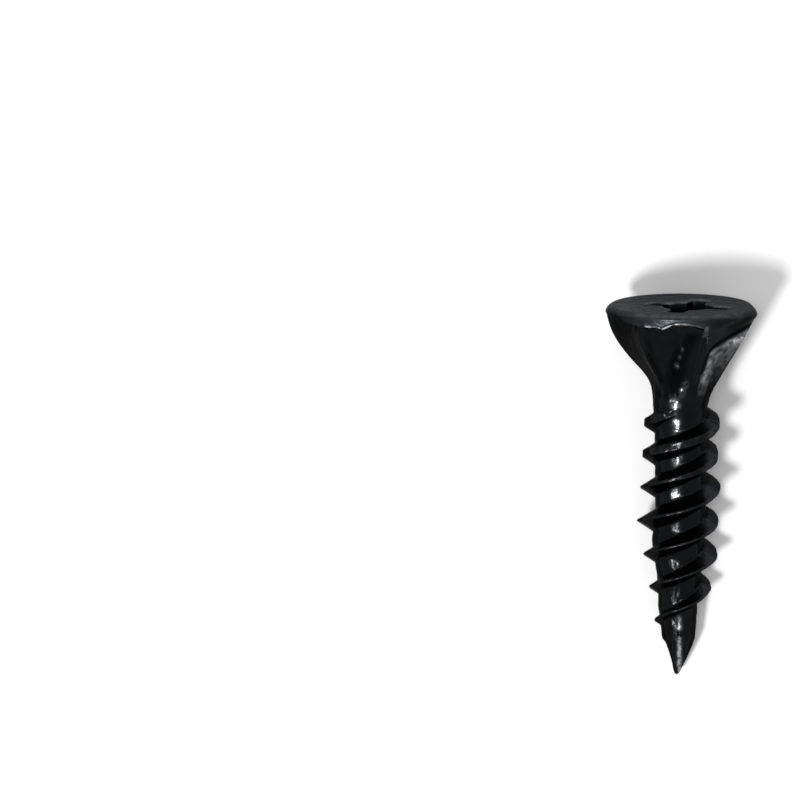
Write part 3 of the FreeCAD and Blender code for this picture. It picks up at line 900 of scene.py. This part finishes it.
def point():
    """Rows of points down the point, from the end of the thread."""
    depths = np.array([depth for depth, _, _ in POINT_OUTLINE])
    radii = [(depth, radius) for depth, radius, _ in POINT_OUTLINE]
    shifts = [(depth, shift) for depth, _, shift in POINT_OUTLINE]
    evenly = np.linspace(depths[0], depths[-3], POINT_ROWS)
    levels = np.unique(np.concatenate([evenly, depths[-3:]]))
    core = core_radius(EVEN_ANGLES, THREAD_FOOT)
    rows = []
    for depth in levels:
        begun = float(rising(depth, THREAD_FOOT, POINT_BEGIN))
        radius = mixed(core, curve_through(radii, depth), begun)
        row = ring_points(radius, EVEN_ANGLES, depth)
        row[:, 0] += float(curve_through(shifts, depth)) * begun
        row[:, 1] *= 1 + uneven(row, POINT_WAVES) * begun
        rows.append(row)
    return np.array(rows)


# The skin as one mesh

# Masks of the finish: wear with painted highlights, rough cut with painted light, painted
# shade, and painted grey sheen
MASKS = ("wear_and_highlight", "lit_rough_cut", "painted_shade", "sheen_grey")
RIM_WEAR = 0.15
# Distance in metres within which patches are joined
JOIN_WITHIN = 2e-7


def placed(points):
    """Places in the frame, in metres, of places on the screw."""
    side, front, depth = (points[:, axis:axis + 1] * MILLIMETRE for axis in range(3))
    across = side * np.array((1.0, 0, 0)) + front * np.array(FRONT)
    return np.array(HEAD_MIDDLE) + across - depth * np.array(OUTWARD)


class Skin:
    """Gathers patches of rows and columns into one mesh, with masks at its points."""

    def __init__(self):
        self.points, self.faces = [], []
        self.masks = {name: [] for name in MASKS}
        self.count = 0

    def add_rows(self, rows, masks, closed=True):
        row_count, column_count = rows.shape[:2]
        index = np.arange(row_count * column_count).reshape(row_count, column_count)
        index += self.count
        following = np.roll(index, -1, axis=1) if closed else index[:, 1:]
        own = index if closed else index[:, :-1]
        quads = np.stack([own[:-1], following[:-1], following[1:], own[1:]], axis=-1)
        self.faces.append(quads.reshape(-1, 4))
        self.points.append(rows.reshape(-1, 3))
        for name, values in self.masks.items():
            given = np.broadcast_to(masks.get(name, 0.0), rows.shape[:2])
            values.append(given.reshape(-1).astype(float))
        self.count += row_count * column_count
        return index

    def add_cap(self, ring, middle, masks):
        self.points.append(np.array([middle], float))
        for name, values in self.masks.items():
            values.append(np.array([masks.get(name, 0.0)]))
        tip = np.full(len(ring), self.count)
        self.faces.append(np.stack([ring, np.roll(ring, -1), tip, tip], axis=-1))
        self.count += 1

    def mesh(self, name):
        """The mesh, kept above the floor, with its patches joined and its masks."""
        places = placed(np.concatenate(self.points))
        places[:, 2] = np.maximum(places[:, 2], 0)
        work = bmesh.new()
        layers = {mask: work.verts.layers.float.new(mask) for mask in self.masks}
        verts = [work.verts.new(place) for place in places]
        for mask, layer in layers.items():
            for vert, value in zip(verts, np.concatenate(self.masks[mask])):
                vert[layer] = value
        for face in np.concatenate(self.faces):
            corners = list(dict.fromkeys(int(index) for index in face))
            work.faces.new([verts[index] for index in corners])
        bmesh.ops.remove_doubles(work, verts=work.verts, dist=JOIN_WITHIN)
        bmesh.ops.recalc_face_normals(work, faces=work.faces)
        for face in work.faces:
            face.smooth = True
        mesh = bpy.data.meshes.new(name)
        work.to_mesh(mesh)
        work.free()
        return mesh


def build_skin():
    """The screw's skin, from the recess's floor over the head and thread to the point."""
    rim_angles = sector_angles(RIB_HALF / HEAD_RADIUS, RIB_SIDE / HEAD_RADIUS)
    rim_rows = rim(rim_angles)
    top_rows, top_masks = head_top(rim_angles, rim_rows[0])
    underside = Underside()
    thread_points, thread_masks = thread()
    underside.points[-1] = thread_points[0, :-1]
    rim_rows = np.concatenate([rim_rows, underside.points[:1]])
    # The rim's painted grey sheen: full at the top face, then as on the band below; the rim's
    # wear follows it
    down = np.linspace(0, 1, len(rim_rows))[:, None]
    rim_sheen = mixed(1, around_rim(BAND_SHEEN, EVEN_ANGLES), down)
    tip_rows = point()
    skin = Skin()
    top = skin.add_rows(top_rows, top_masks)
    skin.add_rows(rim_rows, {"wear_and_highlight": RIM_WEAR * rim_sheen, "sheen_grey": rim_sheen})
    skin.add_rows(underside.points, underside.masks())
    skin.add_rows(thread_points, thread_masks, closed=False)
    # The point, with its painted highlight streak
    tip = skin.add_rows(tip_rows, {"wear_and_highlight": point_streak(tip_rows)})
    skin.add_cap(tip[-1], (POINT_OUTLINE[-1][2], 0.0, POINT_END), {})
    # Cap on the recess's floor, in full painted shade
    skin.add_cap(top[0], (*RECESS_CENTRE, RECESS_BOTTOM), {"painted_shade": 1.0})
    return bpy.data.objects.new("screw_skin", skin.mesh("screw_skin"))


# Materials

COAT_BLACK = (0.007, 0.0076, 0.0084)
COAT_PATCH = (0.018, 0.0195, 0.021)
CUT_DARK = (0.05, 0.053, 0.056)
# Light grey of the rough cut, mottled with the dark; it carries the painted light on the
# hollows' floors
CUT_GREY = (0.26, 0.27, 0.285)
# Grey of worn metal, and of the painted highlights on the lip, streaks, strips and specks
WEAR_AND_HIGHLIGHT_GREY = (0.46, 0.475, 0.49)
# Colour of the painted shade in the recess, on the hollows' walls and floors, and over the
# front lip
PAINTED_SHADE_BLACK = (0.003, 0.0035, 0.004)
# Painted grey sheen of the top face, the band below the rim and the flanks on the right
SHEEN_GREY = (0.060, 0.066, 0.074)
# Sheen of the coat where it looks along the surface
COAT_SHEEN = (0.05, 0.05, 0.055)
FLOOR_WHITE = (0.97, 0.97, 0.97)

# Roughness of the coat, of its patches, the top face, the rough cut, and the worn metal and
# painted highlights, and how metallic the coat, the cut and the top face are
COAT_ROUGHNESS, PATCH_ROUGHNESS, TOP_ROUGHNESS = 0.14, 0.28, 0.42
CUT_ROUGHNESS, WEAR_AND_HIGHLIGHT_ROUGHNESS = 0.62, 0.42
COAT_METAL, CUT_METAL, TOP_METAL = 0.94, 0.3, 0.8
# Noise values between which the rough cut turns from dark to grey, and wear and painted
# highlights from none to full
CUT_RANGE = (0.35, 0.62)
WEAR_AND_HIGHLIGHT_RANGE = (0.38, 0.66)

# Kinds of noise in the coat: size as a count to the metre, detail and roughness
NOISES = {"Height": (7000.0, 4.0, 0.55), "Patches": (700.0, 3.0, 0.5),
          "Dimples": (3000.0, 2.5, 0.5)}
# Size, as a count to the metre, and strength of the patches of wear and painted highlights
WEAR_AND_HIGHLIGHT_COUNT = 2600.0
WEAR_AND_HIGHLIGHT_AMOUNT = 0.75
# Bumps that two of them raise: strength, and height in metres
BUMPS = {"Height": (0.35, 0.00002), "Dimples": (0.4, 0.00005)}


def wire(tree, start, end):
    tree.links.new(start, end)


def add_node(tree, kind, **values):
    node = tree.nodes.new(kind)
    for name, value in values.items():
        setattr(node, name, value)
    return node


def set_inputs(node, **values):
    """Sets inputs by name, with spaces for underscores."""
    for name, value in values.items():
        node.inputs[name.replace("_", " ")].default_value = value


def new_group(name, inputs, outputs):
    """An empty group with named number sockets, and its entry and exit."""
    tree = bpy.data.node_groups.new(name, "ShaderNodeTree")
    for side, names in (("INPUT", inputs), ("OUTPUT", outputs)):
        for socket_name in names:
            tree.interface.new_socket(socket_name, in_out=side, socket_type="NodeSocketFloat")
    return tree, add_node(tree, "NodeGroupInput"), add_node(tree, "NodeGroupOutput")


def wear_and_highlight_group():
    """Breaks the mask of wear and painted highlights up into patches."""
    tree, entry, leave = new_group("wear and highlight patches", ("Mask", "Size", "Amount"), ("Wear and highlight",))
    coords = add_node(tree, "ShaderNodeTexCoord")
    grain = add_node(tree, "ShaderNodeTexNoise")
    set_inputs(grain, Detail=5.0, Roughness=0.6)
    sharpen = add_node(tree, "ShaderNodeMapRange")
    set_inputs(sharpen, From_Min=WEAR_AND_HIGHLIGHT_RANGE[0], From_Max=WEAR_AND_HIGHLIGHT_RANGE[1])
    patches = add_node(tree, "ShaderNodeMath", operation="MULTIPLY")
    amount = add_node(tree, "ShaderNodeMath", operation="MULTIPLY", use_clamp=True)
    for start, end in (
        (coords.outputs["Object"], grain.inputs["Vector"]),
        (entry.outputs["Size"], grain.inputs["Scale"]),
        (grain.outputs["Fac"], sharpen.inputs["Value"]),
        (sharpen.outputs["Result"], patches.inputs[0]),
        (entry.outputs["Mask"], patches.inputs[1]),
        (patches.outputs["Value"], amount.inputs[0]),
        (entry.outputs["Amount"], amount.inputs[1]),
        (amount.outputs["Value"], leave.inputs["Wear and highlight"]),
    ):
        wire(tree, start, end)
    return tree


def grain_group():
    """Grain of a phosphate coat: fine height, dimples, and slow patches of thicker coat."""
    sizes = [name + " Size" for name in NOISES]
    tree, entry, leave = new_group("phosphate grain", sizes, NOISES)
    coords = add_node(tree, "ShaderNodeTexCoord")
    for name, (_, detail, roughness) in NOISES.items():
        texture = add_node(tree, "ShaderNodeTexNoise")
        set_inputs(texture, Detail=detail, Roughness=roughness)
        wire(tree, coords.outputs["Object"], texture.inputs["Vector"])
        wire(tree, entry.outputs[name + " Size"], texture.inputs["Scale"])
        wire(tree, texture.outputs["Fac"], leave.inputs[name])
    return tree


def mask_output(tree, name):
    return add_node(tree, "ShaderNodeAttribute", attribute_name=name).outputs["Fac"]


def mixed_layers(tree, kind, lowest, layers):
    """Colours or values laid over a lowest one, each as far as its mask says."""
    result = lowest
    for mask, value in layers:
        mix = add_node(tree, "ShaderNodeMix", data_type=kind)
        wire(tree, mask, mix.inputs["Factor"])
        for socket, given in ((mix.inputs["A"], result), (mix.inputs["B"], value)):
            if isinstance(given, tuple):
                socket.default_value = (*given, 1.0)
            elif isinstance(given, float):
                socket.default_value = given
            else:
                wire(tree, given, socket)
        result = mix.outputs["Result"]
    return result


def coat_normal(tree, grain):
    """Normal of the coat: its fine grain, with dimples over it."""
    normal = None
    for name, (strength, height) in BUMPS.items():
        bump = add_node(tree, "ShaderNodeBump")
        set_inputs(bump, Strength=strength, Distance=height)
        wire(tree, grain.outputs[name], bump.inputs["Height"])
        if normal:
            wire(tree, normal, bump.inputs["Normal"])
        normal = bump.outputs["Normal"]
    return normal


def coat_material():
    """Black phosphate coat, with painted grey sheen on top, wear and painted highlights,
    painted shade, and roughly cut places with painted light.
    """
    material = bpy.data.materials.new("phosphate_coat")
    material.use_nodes = True
    tree = material.node_tree
    tree.nodes.clear()
    output = add_node(tree, "ShaderNodeOutputMaterial")
    shader = add_node(tree, "ShaderNodeBsdfPrincipled")
    grain = add_node(tree, "ShaderNodeGroup", node_tree=grain_group())
    set_inputs(grain, **{name + "_Size": size for name, (size, _, _) in NOISES.items()})
    # This group breaks the mask of wear and painted highlights into patches
    wear = add_node(tree, "ShaderNodeGroup", node_tree=wear_and_highlight_group())
    set_inputs(wear, Size=WEAR_AND_HIGHLIGHT_COUNT, Amount=WEAR_AND_HIGHLIGHT_AMOUNT)
    wear_and_highlight, lit_rough_cut, painted_shade, sheen_grey = (mask_output(tree, name) for name in MASKS)
    wire(tree, wear_and_highlight, wear.inputs["Mask"])
    patches, patched_wear_and_highlight = grain.outputs["Patches"], wear.outputs["Wear and highlight"]

    mottle = add_node(tree, "ShaderNodeMapRange")
    set_inputs(mottle, From_Min=CUT_RANGE[0], From_Max=CUT_RANGE[1])
    wire(tree, grain.outputs["Dimples"], mottle.inputs["Value"])
    cut = mixed_layers(tree, "RGBA", CUT_DARK, [(mottle.outputs["Result"], CUT_GREY)])
    # The coat's colour, with the painted grey sheen, the cut with its painted light, wear and
    # painted highlights, and painted shade laid over it
    colour = mixed_layers(tree, "RGBA", COAT_BLACK, [
        (patches, COAT_PATCH), (sheen_grey, SHEEN_GREY), (lit_rough_cut, cut), (patched_wear_and_highlight, WEAR_AND_HIGHLIGHT_GREY),
        (painted_shade, PAINTED_SHADE_BLACK),
    ])
    roughness = mixed_layers(tree, "FLOAT", COAT_ROUGHNESS, [
        (patches, PATCH_ROUGHNESS), (sheen_grey, TOP_ROUGHNESS), (lit_rough_cut, CUT_ROUGHNESS),
        (patched_wear_and_highlight, WEAR_AND_HIGHLIGHT_ROUGHNESS),
    ])
    metal = mixed_layers(tree, "FLOAT", COAT_METAL, [(lit_rough_cut, CUT_METAL), (sheen_grey, TOP_METAL)])
    wire(tree, colour, shader.inputs["Base Color"])
    wire(tree, roughness, shader.inputs["Roughness"])
    wire(tree, metal, shader.inputs["Metallic"])
    set_inputs(shader, Specular_Tint=(*COAT_SHEEN, 1.0), IOR=1.45)
    wire(tree, coat_normal(tree, grain), shader.inputs["Normal"])
    wire(tree, shader.outputs["BSDF"], output.inputs["Surface"])
    return material


def floor_material():
    material = bpy.data.materials.new("white_floor")
    material.use_nodes = True
    shader = material.node_tree.nodes["Principled BSDF"]
    set_inputs(shader, Base_Color=(*FLOOR_WHITE, 1.0), Roughness=0.9, Specular_IOR_Level=0.0)
    return material


def link(thing):
    bpy.context.scene.collection.objects.link(thing)


skin = build_skin()
link(skin)
skin.data.materials.append(coat_material())
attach(skin, "root")
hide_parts("screw")

# Floor, in metres
FLOOR_HALF = 3.0
floor_mesh = bpy.data.meshes.new("floor")
corners = [(x * FLOOR_HALF, y * FLOOR_HALF, 0) for x, y in ((-1, -1), (1, -1), (1, 1), (-1, 1))]
floor_mesh.from_pydata(corners, [], [(0, 1, 2, 3)])
floor = bpy.data.objects.new("floor", floor_mesh)
link(floor)
floor.data.materials.append(floor_material())

# Camera: how far it leans from straight above and turns, its distance in metres from a
# place on the axis, where that place lies in the picture, and the lens
VIEW_LEAN = 2.2
VIEW_TURN = 0.479
VIEW_DISTANCE = 0.25
FOCUS_DEPTH = 10.0
FOCUS_PIXEL = (679.48, 490.6)
FOCAL_PIXELS = 4703.0
PICTURE = 800
SENSOR = 36.0

camera_data = bpy.data.cameras.new("camera")
camera_data.sensor_width = SENSOR
camera_data.lens = SENSOR * FOCAL_PIXELS / PICTURE
camera_data.clip_start = 0.01
camera_data.clip_end = 20.0
camera = bpy.data.objects.new("camera", camera_data)
link(camera)
bpy.context.scene.camera = camera
lean = math.radians(VIEW_LEAN)
towards_camera = Vector((0, math.sin(lean), math.cos(lean)))
focus = Vector(placed(np.array([(0, 0, FOCUS_DEPTH)], float))[0])
camera.location = focus + towards_camera * VIEW_DISTANCE
level = Quaternion((1, 0, 0), -lean)
turned = level @ Quaternion((0, 0, 1), math.radians(VIEW_TURN))
across = (FOCUS_PIXEL[0] - PICTURE / 2) / FOCAL_PIXELS
down = (FOCUS_PIXEL[1] - PICTURE / 2) / FOCAL_PIXELS
aside = Vector((0, 0, -1)).rotation_difference(Vector((across, -down, -1)))
camera.rotation_mode = "QUATERNION"
camera.rotation_quaternion = turned @ aside.inverted()

# Lights: level of the world, then name, direction, radius in metres and level of each lamp
WORLD_LEVEL = 0.54
LAMP_DISTANCE = 1.0
LAMPS = (
    ("overhead", (-0.05, 0.06, 1.0), 0.10, 0.1),
    ("key", (-0.38, -0.4, 1.0), 0.08, 0.6608),
)


def add_lamp(name, way, radius, level):
    """A small disc that lights a surface facing it to a level."""
    data = bpy.data.lights.new(name, "AREA")
    data.shape = "DISK"
    data.size = radius * 2
    data.energy = level * math.pi ** 2 * LAMP_DISTANCE ** 2
    lamp = bpy.data.objects.new(name, data)
    direction = Vector(way).normalized()
    lamp.location = focus + direction * LAMP_DISTANCE
    lamp.rotation_mode = "QUATERNION"
    lamp.rotation_quaternion = direction.to_track_quat("Z", "Y")
    link(lamp)


world = bpy.data.worlds.new("studio")
world.use_nodes = True
background = world.node_tree.nodes["Background"]
set_inputs(background, Color=(1.0, 1.0, 1.0, 1.0), Strength=WORLD_LEVEL)
bpy.context.scene.world = world
for lamp_values in LAMPS:
    add_lamp(*lamp_values)

bpy.context.scene.view_settings.view_transform = "Standard"
